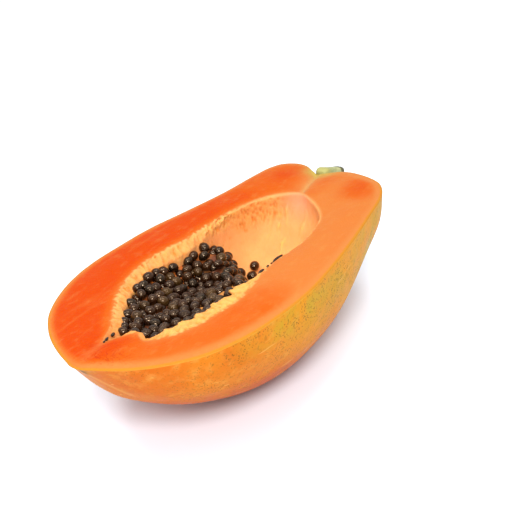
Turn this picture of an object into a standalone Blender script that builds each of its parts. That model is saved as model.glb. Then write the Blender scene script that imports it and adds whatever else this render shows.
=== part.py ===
"""Half of a ripe papaya, cut lengthwise, with its seeds and a stub of its stalk.

The cut face lies level. The design coordinates are millimetres in the plane of the cut: x runs from the
blossom tip to the stalk, y across the fruit, and z up from the cut. The model's origin is under the middle
of the fruit, on the surface it rests on.
"""
import math
import random

import bmesh
import bpy
import numpy as np
from mathutils import Euler, Matrix, Vector

MM = 0.001
MIDDLE = (117.0, -2.5)      # design x and y that lie over the model's origin
CUT_HEIGHT = 69.0           # the cut face above the surface that the fruit rests on

# Edge of the cut face: design points from the blossom tip along +y to the stalk and back along -y.
EDGE = (
    (-3, -1), (0.5, 8), (7, 20.5), (16, 33.5), (29, 46), (44, 54.3), (62, 60), (80, 61.8), (100, 60.4),
    (124, 57), (150, 49.6), (176, 43), (198, 39.4), (211, 36.3), (217.5, 32), (221, 24), (221.6, 4),
    (220.6, -16), (218, -28), (213, -38), (201, -46.4), (178, -52.8), (148, -59.7), (122, -64.3),
    (98, -66.8), (73, -65.7), (50, -61.3), (30, -52.1), (15, -38.4), (6, -24.8), (0, -10.5),
)
# Rim of the seed hollow, in the same order.
RIM = (
    (21, 1.5), (34, 8.5), (46, 17), (58, 25), (71, 30.7), (85, 33.6), (96, 34), (110, 31.2), (124, 28.5),
    (140, 27), (154, 25.2), (166, 21.8), (176, 17), (184, 9.5), (188.5, -1), (185, -9), (177, -20),
    (167, -28.5), (154, -33), (136, -35), (116, -33), (100, -34.8), (80, -38), (64, -36.2), (48, -32.3),
    (35, -24.5), (29.3, -16.5), (33, -8), (27, -3),
)
# Depth below the cut as a share of the half width there, at stations along x.
BODY_DEPTH = ((-3.2, 0.27), (12, 0.67), (28, 0.78), (50, 0.87), (80, 1.02), (112, 1.12), (150, 1.19),
              (185, 1.08), (222, 0.93))
# Power of each cross-section: 2 is an ellipse, less is slacker, more is squarer.
BODY_SECTION = ((-3.2, 1.3), (28, 1.83), (80, 1.91), (150, 2.08), (222, 1.88))
HOLLOW_DEPTH = ((21, 1.0), (45, 1.02), (75, 1.1), (110, 1.2), (150, 1.15), (189, 1.05))
HOLLOW_SECTION = ((21, 2.15), (189, 2.15))
CENTRE = (100.0, 0.0, 0.0)  # the skin and the hollow are both seen whole from here
HOLLOW_CENTRE = (100.0, -3.0, 0.0)

DIMPLE_AT = (3.6, -3.4)     # y and z of the stalk's axis where it enters
DIMPLE_DEEP, DIMPLE_WIDE = 9.0, 10.0
EDGE_ROUND = 0.9
FACE_CROWN = 1.0            # the flesh swells this much between skin and hollow
LEDGE_WIDE, LEDGE_FALL = 7.5, 0.12   # soft tissue that reaches in from the -y rim, and its slope
LIP = 1.2

AROUND = 76                 # vertices in each ring
SKIN_RINGS, FACE_RINGS, HOLLOW_RINGS = 14, 4, 11

SEED_RANDOM = 18
SEED_HALF = (3.4, 2.85, 2.7)         # half the length, width and thickness of a seed
SEED_APART = 5.3
SEED_TRIES = 9000
WALL_GAP = 0.8
CORE_SINK = 0.0             # the tissue that holds the seeds lies this far under their middles
CORE_CENTRE = (92.0, 1.0, -27.0)
ROOT_CHECK = 2.0            # a seed is only placed where the tissue reaches this far past it

STALK_PATH = ((215.4, 3.6, -3.4), (217.2, 3.6, -3.4), (220.0, 3.7, -4.2), (224.6, 4.0, -6.2),
              (229.2, 4.3, -8.9), (234.2, 4.6, -11.9))
STALK_RADII = (3.4, 5.0, 4.8, 4.4, 4.2, 4.3)
STALK_SIDES = 18

# Loose seeds: design position, turn in degrees, and half sizes.
LOOSE_SEEDS = (
    ((147.8, 7.2, -27.0), (10, 8, 25), (3.6, 2.7, 2.6)),
    ((141.0, 4.6, -29.3), (-4, 4, 60), (3.3, 2.9, 2.6)),
    ((107.0, -30.9, -1.2), (20, 0, 6), (2.8, 1.1, 1.0)),
    ((121.5, -31.0, -1.1), (20, 0, -3), (4.4, 1.0, 0.9)),
    ((28.6, 2.3, -0.6), (0, 8, 28), (2.3, 1.0, 0.8)),
)


def smooth_loop(points, count):
    """A closed smooth curve through the design points, as count evenly spaced points."""
    points = np.array(points, float)
    n, fine = len(points), []
    for i in range(n):
        a, b, c, d = (points[(i + k) % n] for k in (-1, 0, 1, 2))
        t1 = np.linalg.norm(b - a) ** 0.5
        t2 = t1 + np.linalg.norm(c - b) ** 0.5
        t3 = t2 + np.linalg.norm(d - c) ** 0.5
        t = np.linspace(t1, t2, 24, endpoint=False)[:, None]
        ab, bc, cd = (((v - t) * p + (t - u) * q) / (v - u)
                      for p, q, u, v in ((a, b, 0, t1), (b, c, t1, t2), (c, d, t2, t3)))
        abc = ((t2 - t) * ab + t * bc) / t2
        bcd = ((t3 - t) * bc + (t - t1) * cd) / (t3 - t1)
        fine.append(((t2 - t) * abc + (t - t1) * bcd) / (t2 - t1))
    fine = np.vstack(fine + [fine[0][:1]])
    run = np.concatenate([[0], np.cumsum(np.linalg.norm(np.diff(fine, axis=0), axis=1))])
    at = np.linspace(0, run[-1], count, endpoint=False)
    return np.stack([np.interp(at, run, fine[:, k]) for k in (0, 1)], axis=1)


def smooth_value(table, x):
    """A smooth curve through the (station, value) pairs of a table, held level past its ends."""
    at, value = np.array(table, float).T
    slope = np.gradient(value, at)
    x = np.clip(x, at[0], at[-1])
    i = np.clip(np.searchsorted(at, x) - 1, 0, len(at) - 2)
    span = at[i + 1] - at[i]
    t = (x - at[i]) / span
    return ((1 + 2 * t) * (1 - t) ** 2 * value[i] + t * (1 - t) ** 2 * span * slope[i]
            + t * t * (3 - 2 * t) * value[i + 1] - t * t * (1 - t) * span * slope[i + 1])


class Trough:
    """A half form under the plane of the cut: its outline there, and how deep it is along x."""

    def __init__(self, outline, depth, section):
        self.loop = smooth_loop(outline, 720)
        self.depth, self.section = depth, section
        first = self.loop[:, 0].argmin()
        ring = np.roll(self.loop, -first, axis=0)
        last = ring[:, 0].argmax()
        self.left = ring[:last + 1]
        self.right = np.vstack([ring[last:], ring[:1]])[::-1]
        self.x0, self.x1 = ring[0, 0], ring[last, 0]

    def level(self, p):
        """Under 1 inside the form, 1 on it and over 1 outside."""
        x = p[..., 0]
        left = np.interp(x, *self.left.T)
        right = np.interp(x, *self.right.T)
        half = np.maximum((left - right) / 2, 1e-6)
        power = smooth_value(self.section, x)
        across = np.abs(p[..., 1] - (left + right) / 2) / half
        down = np.abs(p[..., 2]) / (half * smooth_value(self.depth, x))
        value = across ** power + down ** power
        return np.where((x <= self.x0) | (x >= self.x1), 9.0, value)

    def roomy(self, p, gap):
        """Whether each point has this much room to the wall on every side."""
        shifts = gap * np.array([(1, 0, 0), (-1, 0, 0), (0, 1, 0), (0, -1, 0), (0, 0, -1)])
        return np.max([self.level(p + s) for s in shifts], axis=0) < 1


def cast(level, centre, directions):
    """Points where the rays from the centre reach a level of 1."""
    centre = np.array(centre, float)
    near, far = np.zeros(directions.shape[:-1]), np.full(directions.shape[:-1], 260.0)
    for _ in range(40):
        middle = (near + far) / 2
        inside = level(centre + middle[..., None] * directions) < 1
        near, far = np.where(inside, middle, near), np.where(inside, far, middle)
    return centre + near[..., None] * directions


def ring_directions(loop, centre, fall):
    """Unit rays over the points of a loop, tilted down by the angles in fall."""
    flat = loop - np.array(centre[:2])
    flat /= np.linalg.norm(flat, axis=1)[:, None]
    fall = np.broadcast_to(fall, len(loop))
    return np.column_stack([flat * np.cos(fall)[:, None], -np.sin(fall)])


BODY = Trough(EDGE, BODY_DEPTH, BODY_SECTION)


def ledge_width(loop):
    """How far soft tissue slopes in from the rim: widest on the -y side of the seeds."""
    side = np.clip(-loop[:, 1] / 24, 0, 1) ** 1.5
    along = np.exp(-np.clip((loop[:, 0] - 84) / 14, 0, None) ** 2)
    tip = 1 - np.exp(-np.clip((loop[:, 0] - 22) / 12, 0, None) ** 2)
    return LIP + (LEDGE_WIDE - LIP) * side * along * tip


def inset(loop, width):
    """The loop moved inwards by the widths."""
    along = np.roll(loop, -2, axis=0) - np.roll(loop, 2, axis=0)
    along /= np.linalg.norm(along, axis=1)[:, None]
    return loop + np.column_stack([along[:, 1], -along[:, 0]]) * width[:, None]


RIM_LOOP = smooth_loop(RIM, 720)
HOLLOW = Trough(inset(RIM_LOOP, ledge_width(RIM_LOOP))[::12], HOLLOW_DEPTH, HOLLOW_SECTION)


def dimpled(p):
    """The stalk's dimple pushed into the skin."""
    reach = np.hypot(p[:, 1] - DIMPLE_AT[0], p[:, 2] - DIMPLE_AT[1]) / DIMPLE_WIDE
    push = DIMPLE_DEEP * np.exp(-reach ** 2) * np.clip((p[:, 0] - 190) / 24, 0, 1)
    return p - np.column_stack([push, 0 * push, 0 * push])


def fruit_rings():
    """Closed rings of points from the underside over the cut face to the floor of the hollow."""
    edge, rim = smooth_loop(EDGE, AROUND), smooth_loop(RIM, AROUND)
    rings = []
    for j in range(SKIN_RINGS):
        fall = math.pi / 2 * (1 - (j + 0.6) / (SKIN_RINGS + 0.2)) ** 1.25
        rings.append(dimpled(cast(BODY.level, CENTRE, ring_directions(edge, CENTRE, fall))))
    low = np.arctan2(EDGE_ROUND, np.linalg.norm(edge - np.array(CENTRE[:2]), axis=1))
    rings.append(dimpled(cast(BODY.level, CENTRE, ring_directions(edge, CENTRE, low))))
    inner = dimpled(np.column_stack([inset(edge, np.full(AROUND, EDGE_ROUND)), np.zeros(AROUND)]))
    for j in range(FACE_RINGS):
        t = j / (FACE_RINGS - 1)
        ring = inner * (1 - t) + np.column_stack([rim, np.zeros(AROUND)]) * t
        ring[:, 2] += FACE_CROWN * math.sin(math.pi * t) ** 0.7
        rings.append(ring)
    ledge = ledge_width(rim)
    start = ledge * LEDGE_FALL + 0.9
    shelf = np.column_stack([inset(rim, ledge), -start])
    rings.append((rings[-1] + shelf) / 2 + (0, 0, 0.3))
    reach = np.linalg.norm(shelf[:, :2] - np.array(HOLLOW_CENTRE[:2]), axis=1)
    first = np.arctan2(start, reach)
    for j in range(HOLLOW_RINGS):
        t = (j / (HOLLOW_RINGS - 0.4)) ** 1.5
        fall = first + (math.pi / 2 - first) * t
        rings.append(cast(HOLLOW.level, HOLLOW_CENTRE, ring_directions(rim, HOLLOW_CENTRE, fall)))
    return rings


def heap_top(x, y):
    """Height of the seeds' middles: high along both sides, hollow in the middle, falling to the stalk."""
    bowl = 2.2 * np.clip(1 - ((y + 2) / 27) ** 2, 0, 1) * np.clip((x - 44) / 24, 0, 1)
    dip = 10.3 * np.exp(-((x - 102) / 20) ** 2 - ((y - 5) / 15) ** 2)
    low = 2.2 * np.clip((x - 84) / 12, 0, 1) * np.clip((y - 8) / 18, 0, 1)
    ramp = np.clip(x - (97 + 0.72 * (np.minimum(y, 16) + 25)), 0, None)
    return -4.2 - bowl - dip - low - 0.32 * ramp ** 1.5


def core_level(p):
    """The tissue that the seeds sit in: under their middles, clear of the hollow's wall."""
    shifts = (WALL_GAP + 0.3) * np.array([(1, 0, 0), (-1, 0, 0), (0, 1, 0), (0, -1, 0), (0, 0, -1)])
    wall = np.max([HOLLOW.level(p + s) for s in shifts], axis=0)
    top = 1 + (p[..., 2] - heap_top(p[..., 0], p[..., 1]) + CORE_SINK) / 10
    return np.maximum(wall, top)


def seed_places():
    """Middle, turn and half sizes of each seed that hangs in the bunch."""
    draw = random.Random(SEED_RANDOM)
    places = []
    for _ in range(SEED_TRIES):
        x, y = draw.uniform(24, 140), draw.uniform(-36, 34)
        lift, size = draw.uniform(-1.2, 0.7), draw.uniform(0.9, 1.1)
        turn = [draw.uniform(-0.6, 0.6), draw.uniform(-0.6, 0.6), draw.uniform(0, math.pi)]
        middle = np.array([x, y, float(heap_top(x, y)) + lift])
        half = [h * size for h in SEED_HALF]
        away = (middle - CORE_CENTRE) / np.linalg.norm(middle - CORE_CENTRE)
        roots = np.array([middle + ROOT_CHECK * away - (0, 0, 2), middle - (0, 0, 1.7)])
        if not HOLLOW.roomy(middle, half[0] + WALL_GAP) or core_level(roots).max() > 1:
            continue
        if all(np.linalg.norm(middle - other[0]) > SEED_APART * (size + other[3]) / 2 for other in places):
            places.append((middle, turn, half, size))
    return [place[:3] for place in places]


def design(p):
    """Design millimetres about the model's middle, in metres."""
    return Vector(((p[0] - MIDDLE[0]) * MM, (p[1] - MIDDLE[1]) * MM, p[2] * MM))


def skin_of_rings(mesh, rings):
    """Joins closed rings of points into one closed surface, with a fan at each end."""
    rows = [[mesh.verts.new(design(p)) for p in ring] for ring in rings]
    n = len(rows[0])
    for low, high in zip(rows, rows[1:]):
        for i in range(n):
            mesh.faces.new((low[i], high[i], high[(i + 1) % n], low[(i + 1) % n]))
    for row, ring in ((rows[0], rings[0]), (rows[-1], rings[-1])):
        pole = mesh.verts.new(design(np.mean(ring, axis=0)))
        for i in range(n):
            mesh.faces.new((pole, row[i], row[(i + 1) % n]))
    bmesh.ops.recalc_face_normals(mesh, faces=mesh.faces)


def material(name, colour, roughness):
    made = bpy.data.materials.new(name)
    made.use_nodes = True
    shader = made.node_tree.nodes["Principled BSDF"]
    shader.inputs["Base Color"].default_value = (*colour, 1.0)
    shader.inputs["Roughness"].default_value = roughness
    shader.inputs["Metallic"].default_value = 0.0
    return made


def add_object(name, mesh, finish, parent, place=(0, 0, 0), smooth=True):
    """A named object of a bmesh, hung on the parent."""
    data = bpy.data.meshes.new(name)
    mesh.to_mesh(data)
    mesh.free()
    if smooth:
        data.shade_smooth()
        data.set_sharp_from_angle(angle=math.radians(50))
    data.materials.append(finish)
    made = bpy.data.objects.new(name, data)
    bpy.context.collection.objects.link(made)
    made.parent = parent
    made.location = place
    return made


def add_fruit(finish, parent):
    mesh = bmesh.new()
    skin_of_rings(mesh, fruit_rings())
    bmesh.ops.triangulate(mesh, faces=mesh.faces)
    # The small flat spot that the fruit rests on.
    cut = bmesh.ops.bisect_plane(mesh, geom=mesh.verts[:] + mesh.edges[:] + mesh.faces[:], dist=1e-7,
                                 plane_co=(0, 0, -CUT_HEIGHT * MM), plane_no=(0, 0, -1), clear_outer=True)
    bmesh.ops.contextual_create(mesh, geom=[e for e in cut["geom_cut"] if isinstance(e, bmesh.types.BMEdge)])
    bmesh.ops.recalc_face_normals(mesh, faces=mesh.faces)
    return add_object("fruit_half", mesh, finish, parent)


def add_stalk(finish, parent):
    """A short bent stub: rings square to its path."""
    path = [Vector(p) for p in STALK_PATH]
    mesh = bmesh.new()
    rings = []
    for i, (middle, radius) in enumerate(zip(path, STALK_RADII)):
        ahead = (path[min(i + 1, len(path) - 1)] - path[max(i - 1, 0)]).normalized()
        side = ahead.cross(Vector((0, 0, 1))).normalized()
        up = side.cross(ahead)
        angles = (2 * math.pi * k / STALK_SIDES for k in range(STALK_SIDES))
        rings.append([middle + radius * (math.cos(a) * side + math.sin(a) * up) for a in angles])
    skin_of_rings(mesh, rings)
    return add_object("stem_stub", mesh, finish, parent)


def seed_matrix(middle, turn, half):
    return (Matrix.Translation(design(middle)) @ Euler(turn).to_matrix().to_4x4()
            @ Matrix.Diagonal((*(h * MM for h in half), 1.0)))


def add_seed_bunch(finish, parent):
    """The core with every seed of the bunch fused to it."""
    directions = []
    rings, sides = 14, 30
    for j in range(rings):
        tilt = math.pi * ((j + 0.7) / (rings + 0.4) - 0.5)
        turns = (2 * math.pi * k / sides for k in range(sides))
        directions.append([(1.8 * math.cos(a) * math.cos(tilt), math.sin(a) * math.cos(tilt),
                            0.7 * math.sin(tilt)) for a in turns])
    directions = np.array(directions)
    directions /= np.linalg.norm(directions, axis=2)[..., None]
    mesh = bmesh.new()
    skin_of_rings(mesh, list(cast(core_level, CORE_CENTRE, directions)))
    bmesh.ops.triangulate(mesh, faces=mesh.faces)
    bunch = add_object("seed_bunch", mesh, finish, parent, smooth=False)

    seeds = bmesh.new()
    for middle, turn, half in seed_places():
        bmesh.ops.create_icosphere(seeds, subdivisions=1, radius=1.0, matrix=seed_matrix(middle, turn, half))
    helper = add_object("seeds_to_fuse", seeds, finish, parent, smooth=False)
    helper.hide_render = True
    helper.display_type = "WIRE"
    fuse = bunch.modifiers.new("fuse", "BOOLEAN")
    fuse.operation = "UNION"
    fuse.solver = "EXACT"
    fuse.use_self = True
    fuse.object = helper
    tidy = bunch.modifiers.new("tidy", "DECIMATE")
    tidy.decimate_type = "DISSOLVE"
    tidy.angle_limit = math.radians(1)
    return bunch


def add_loose_seeds(finish, parent):
    for number, (middle, turn, half) in enumerate(LOOSE_SEEDS, 1):
        mesh = bmesh.new()
        bmesh.ops.create_icosphere(mesh, subdivisions=2, radius=1.0)
        mesh.transform(Matrix.Diagonal((*(h * MM for h in half), 1.0)))
        seed = add_object(f"loose_seed_{number}", mesh, finish, parent, design(middle))
        seed.rotation_euler = [math.radians(t) for t in turn]


def main():
    for old in list(bpy.data.objects):
        bpy.data.objects.remove(old)
    papaya = bpy.data.objects.new("papaya", None)
    bpy.context.collection.objects.link(papaya)
    papaya.location = (0, 0, CUT_HEIGHT * MM)
    flesh = material("papaya_flesh_and_skin", (0.85, 0.30, 0.07), 0.42)
    green = material("stalk_green", (0.38, 0.42, 0.13), 0.6)
    dark = material("seed_brown", (0.035, 0.022, 0.018), 0.25)
    add_fruit(flesh, papaya)
    add_stalk(green, papaya)
    add_seed_bunch(dark, papaya)
    add_loose_seeds(dark, papaya)


main()
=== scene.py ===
"""Half of a ripe papaya, cut lengthwise, with its seeds and a stub of its stalk.

Shapes are worked out in design millimetres in the plane of the cut: x runs from the blossom tip to the
stalk, y across the fruit, and z up from the cut. design() turns them into the frame's metres.
"""
import math
import random

import bmesh
import bpy
import numpy as np
from mathutils import Euler, Matrix, Vector, noise


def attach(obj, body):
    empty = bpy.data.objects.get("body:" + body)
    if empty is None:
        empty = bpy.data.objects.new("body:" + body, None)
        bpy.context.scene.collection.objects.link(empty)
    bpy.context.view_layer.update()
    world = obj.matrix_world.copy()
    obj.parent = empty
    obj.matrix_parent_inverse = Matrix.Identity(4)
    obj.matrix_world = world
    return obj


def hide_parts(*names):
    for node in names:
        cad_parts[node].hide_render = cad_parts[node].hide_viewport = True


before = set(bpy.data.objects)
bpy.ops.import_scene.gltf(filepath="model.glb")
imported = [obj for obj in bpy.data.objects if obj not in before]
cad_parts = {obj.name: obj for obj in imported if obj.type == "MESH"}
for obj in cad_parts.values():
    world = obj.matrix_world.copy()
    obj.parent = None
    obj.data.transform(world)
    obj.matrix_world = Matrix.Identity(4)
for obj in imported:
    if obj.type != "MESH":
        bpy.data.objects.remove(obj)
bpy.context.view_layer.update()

MM = 0.001
MIDDLE = (117.0, -2.5)      # design x and y that lie over the model's origin
CUT_HEIGHT = 69.0           # the cut face above the surface that the fruit rests on

# Edge of the cut face: design points from the blossom tip along +y to the stalk and back along -y.
EDGE = (
    (-3, -1), (0.5, 8), (7, 20.5), (16, 33.5), (29, 46), (44, 54.3), (62, 60), (80, 61.8), (100, 60.4),
    (124, 57), (150, 49.6), (176, 43), (198, 39.4), (211, 36.3), (217.5, 32), (221, 24), (221.6, 4),
    (220.6, -16), (218, -28), (213, -38), (201, -46.4), (178, -52.8), (148, -59.7), (122, -64.3),
    (98, -66.8), (73, -65.7), (50, -61.3), (30, -52.1), (15, -38.4), (6, -24.8), (0, -10.5),
)
# Rim of the seed hollow, in the same order.
RIM = (
    (21, 1.5), (34, 8.5), (46, 17), (58, 25), (71, 30.7), (85, 33.6), (96, 34), (110, 31.2), (124, 28.5),
    (140, 27), (154, 25.2), (166, 21.8), (176, 17), (184, 9.5), (188.5, -1), (185, -9), (177, -20),
    (167, -28.5), (154, -33), (136, -35), (116, -33), (100, -34.8), (80, -38), (64, -36.2), (48, -32.3),
    (35, -24.5), (29.3, -16.5), (33, -8), (27, -3),
)
# Depth below the cut as a share of the half width there, at stations along x.
BODY_DEPTH = ((-3.2, 0.27), (12, 0.67), (28, 0.78), (50, 0.87), (80, 1.02), (112, 1.12), (150, 1.19),
              (185, 1.08), (222, 0.93))
# Power of each cross-section: 2 is an ellipse, less is slacker, more is squarer.
BODY_SECTION = ((-3.2, 1.3), (28, 1.83), (80, 1.91), (150, 2.08), (222, 1.88))
HOLLOW_DEPTH = ((21, 1.0), (45, 1.02), (75, 1.1), (110, 1.2), (150, 1.15), (189, 1.05))
HOLLOW_SECTION = ((21, 2.15), (189, 2.15))
CENTRE = (100.0, 0.0, 0.0)
HOLLOW_CENTRE = (100.0, -3.0, 0.0)

DIMPLE_AT = (3.6, -3.4)     # y and z of the stalk's axis where it enters
DIMPLE_DEEP, DIMPLE_WIDE = 9.0, 10.0
DIMPLE_X = (190, 214)       # where the dimple's push begins, and where it is whole
EDGE_ROUND = 0.9
FACE_CROWN = 1.0
LEDGE_WIDE, LEDGE_FALL = 7.5, 0.12      # the soft tissue that slopes in from the rim
LEDGE_DROP, LEDGE_SWELL = 0.9, 0.35
LIP = 1.2
TIP_END, TIP_SHARE = -1.5, 0.6          # what reaches past this x keeps this share of it

AROUND = 560
SKIN_ROWS, EDGE_ROWS, FACE_ROWS, LEDGE_ROWS, HOLLOW_ROWS = 56, 4, 38, 14, 60
SKIN_CROWD, HOLLOW_CROWD = 0.8, 1.15    # under 1, rows lie closer to the row where they end
SKIN_SLOT, FLESH_SLOT = 0, 1
LOOP_FINE, LOOP_POINTS = 24, 720        # points between two given ones, and on a whole outline
HOLLOW_THIN = 12            # every twelfth point of the rim shapes the hollow
CAST_REACH, CAST_STEPS = 260.0, 40      # how far a ray looks for the surface, and how often it halves that

SEED_RANDOM, LOW_RANDOM, LOOK_RANDOM = 18, 5, 3
SEED_X, SEED_Y = (24, 140), (-36, 34)
SEED_HALF = (3.4, 2.85, 2.7)
SEED_APART = 5.3
SEED_PLUMP = 1.01
SEED_TRIES, LOW_TRIES = 9000, 5000
WALL_GAP = 0.8
ROOT_CHECK, ROOT_LOW = 2.0, 1.7
LOW_UNDER = (2.6, 3.6)      # how far the layer below lies under the top one
LOW_APART, LOW_FROM_TOP = 4.4, 3.6
CORE_CENTRE = (92.0, 1.0, -27.0)
CORE_RINGS, CORE_SIDES = 60, 120

STALK_PATH = ((215.4, 3.6, -3.4), (217.2, 3.6, -3.4), (220.0, 3.7, -4.2), (224.6, 4.0, -6.2),
              (229.2, 4.3, -8.0), (234.4, 4.6, -10.0))
STALK_RADII = (3.4, 4.7, 4.6, 4.4, 4.3, 4.3)
STALK_SIDES, STALK_STEPS = 72, 60
STALK_SQUARE = 3.4          # power of its section: 2 is round, more is squarer
STALK_RIBS = 13
END_SHARES = (0.9, 0.7, 0.45, 0.2)      # rings across its cut end, as shares of the last ring

# Loose seeds: design position, turn in degrees, and half sizes. The first ones are whole, the rest films.
WHOLE_LOOSE = 2
LOOSE_FOLDS, FLAKE_FOLDS = 40, 60       # where their folds' own numbers start
LOOSE_SEEDS = (
    ((147.8, 7.2, -27.0), (10, 8, 25), (3.6, 2.7, 2.6)),
    ((141.0, 4.6, -29.3), (-4, 4, 60), (3.3, 2.9, 2.6)),
    ((107.0, -30.9, -1.2), (20, 0, 6), (2.8, 1.1, 1.0)),
    ((121.5, -31.0, -1.1), (20, 0, -3), (4.4, 1.0, 0.9)),
    ((28.6, 2.3, -0.6), (0, 8, 28), (2.3, 1.0, 0.8)),
)

# Small dark flakes of dried film: design position, turn in degrees, and half sizes.
FLAKES = (
    ((23.4, 1.7, 0.0), (0, 4, 22), (2.3, 0.8, 0.5)), ((20.4, 0.6, 0.5), (0, 0, 35), (1.0, 0.6, 0.3)),
    ((112.2, -31.3, -0.7), (20, 0, 10), (1.2, 0.7, 0.6)),
    ((115.2, -31.6, -0.5), (20, 0, -8), (0.8, 0.5, 0.5)), ((83.0, -36.0, -0.2), (0, 0, 30), (0.9, 0.6, 0.4)),
)

# Soft ridges on the end wall of the hollow: both ends of each, and its half width.
RIDGES = (
    ((183, 6, -8), (177, 4, -20), 1.1), ((180, 9, -10), (172, 7, -22), 0.8),
    ((182, -8, -10), (177, -6, -19), 1.1), ((184, -3, -13), (180, -3, -17), 0.7),
    ((171, 3, -23), (164, 1, -28), 1.5), ((176, 12, -12), (168, 11, -20), 0.8),
    ((170, -12, -19), (164, -10, -24), 1.2), ((178, -15, -9), (173, -16, -14), 0.9),
)

# The valley in the cut face below the stalk: a point on it, its slant, and each half width with its start.
NOTCH_AT, NOTCH_SLANT = (212, 3.6), 0.19
VALLEY, DIP = (1.7, (186, 191)), (7.0, (184, 196))
PIT_SIZE = (1.9, 1.35, 1)

# Patches of olive and of specks on the skin: strength, middle and reach.
OLIVE_PATCHES = (
    (1.0, (85, -66, -6), (34, 16, 10)), (1.0, (186, -46, -16), (26, 26, 22)),
    (0.5, (130, -62, -14), (40, 14, 18)), (0.6, (214, 30, -20), (20, 26, 26)),
    (0.5, (150, 45, -30), (50, 20, 20)),
)
SPECK_PATCHES = ((1.0, (90, -60, -22), (66, 44, 30)), (0.8, (185, -45, -12), (40, 40, 30)))

# The camera: where it looks in the frame's metres, and how it stands.
LOOK_AT = (1.66e-3, -16.21e-3, 69.0e-3)
CAMERA_TURN, CAMERA_RISE, CAMERA_ROLL = -50.1, 27.8, -9.5
CAMERA_AWAY = 0.704
CAMERA_LENS = 95.93

# The lamps: name, place and width in metres, and power in watts.
LAMPS = (("back", (-0.35, 0.3, 1.2), 0.4, 5.5), ("top", (0.2, -0.1, 1.3), 0.6, 5.5),
         ("front", (-0.75, -0.65, 0.9), 0.4, 16.0))
WORLD_LIGHT = 0.75
FLOOR_HALF, FLOOR_COLOUR = 8.0, (0.84, 0.90, 0.98)

# How much brighter than the picture's white a white surface is: level, in the hollow, upright, among the
# seeds, on the stalk and at its base.
STUDIO_LIGHT, WALL_LIGHT, SIDE_LIGHT = 2.0, 1.35, 1.5
CORE_LIGHT, STALK_LIGHT, STALK_BASE_LIGHT = 1.6, 1.6, 1.8


# Curves and forms

def smooth_loop(points, count):
    """A closed smooth curve through the design points, as count evenly spaced points."""
    points = np.array(points, float)
    n, fine = len(points), []
    for i in range(n):
        a, b, c, d = (points[(i + k) % n] for k in (-1, 0, 1, 2))
        t1 = np.linalg.norm(b - a) ** 0.5
        t2 = t1 + np.linalg.norm(c - b) ** 0.5
        t3 = t2 + np.linalg.norm(d - c) ** 0.5
        t = np.linspace(t1, t2, LOOP_FINE, endpoint=False)[:, None]
        ab, bc, cd = (((v - t) * p + (t - u) * q) / (v - u)
                      for p, q, u, v in ((a, b, 0, t1), (b, c, t1, t2), (c, d, t2, t3)))
        abc = ((t2 - t) * ab + t * bc) / t2
        bcd = ((t3 - t) * bc + (t - t1) * cd) / (t3 - t1)
        fine.append(((t2 - t) * abc + (t - t1) * bcd) / (t2 - t1))
    fine = np.vstack(fine + [fine[0][:1]])
    run = np.concatenate([[0], np.cumsum(np.linalg.norm(np.diff(fine, axis=0), axis=1))])
    at = np.linspace(0, run[-1], count, endpoint=False)
    return np.stack([np.interp(at, run, fine[:, k]) for k in (0, 1)], axis=1)


def smooth_value(table, x):
    """A smooth curve through the (station, value) pairs of a table, held level past its ends."""
    at, value = np.array(table, float).T
    slope = np.gradient(value, at)
    x = np.clip(x, at[0], at[-1])
    i = np.clip(np.searchsorted(at, x) - 1, 0, len(at) - 2)
    span = at[i + 1] - at[i]
    t = (x - at[i]) / span
    return ((1 + 2 * t) * (1 - t) ** 2 * value[i] + t * (1 - t) ** 2 * span * slope[i]
            + t * t * (3 - 2 * t) * value[i + 1] - t * t * (1 - t) * span * slope[i + 1])


class Trough:
    """A half form under the plane of the cut: its outline there, and how deep it is along x."""

    def __init__(self, outline, depth, section):
        self.depth, self.section = depth, section
        loop = smooth_loop(outline, LOOP_POINTS)
        ring = np.roll(loop, -loop[:, 0].argmin(), axis=0)
        last = ring[:, 0].argmax()
        self.left = ring[:last + 1]
        self.right = np.vstack([ring[last:], ring[:1]])[::-1]
        self.x0, self.x1 = ring[0, 0], ring[last, 0]

    def level(self, p):
        """Under 1 inside the form, 1 on it and over 1 outside."""
        x = p[..., 0]
        left = np.interp(x, *self.left.T)
        right = np.interp(x, *self.right.T)
        half = np.maximum((left - right) / 2, 1e-6)
        power = smooth_value(self.section, x)
        across = np.abs(p[..., 1] - (left + right) / 2) / half
        down = np.abs(p[..., 2]) / (half * smooth_value(self.depth, x))
        value = across ** power + down ** power
        return np.where((x <= self.x0) | (x >= self.x1), 9.0, value)

    def roomy(self, p, gap):
        """Whether each point has this much room to the wall on every side."""
        shifts = gap * np.array([(1, 0, 0), (-1, 0, 0), (0, 1, 0), (0, -1, 0), (0, 0, -1)])
        return np.max([self.level(p + s) for s in shifts], axis=0) < 1


def cast(level, centre, directions):
    """Points where the rays from the centre reach a level of 1."""
    centre = np.array(centre, float)
    near, far = np.zeros(directions.shape[:-1]), np.full(directions.shape[:-1], CAST_REACH)
    for _ in range(CAST_STEPS):
        middle = (near + far) / 2
        inside = level(centre + middle[..., None] * directions) < 1
        near, far = np.where(inside, middle, near), np.where(inside, far, middle)
    return centre + near[..., None] * directions


def ring_directions(loop, centre, fall):
    """Unit rays over the points of a loop, tilted down by the angles in fall."""
    flat = loop - np.array(centre[:2])
    flat /= np.linalg.norm(flat, axis=1)[:, None]
    fall = np.broadcast_to(fall, len(loop))
    return np.column_stack([flat * np.cos(fall)[:, None], -np.sin(fall)])


BODY = Trough(EDGE, BODY_DEPTH, BODY_SECTION)


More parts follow.
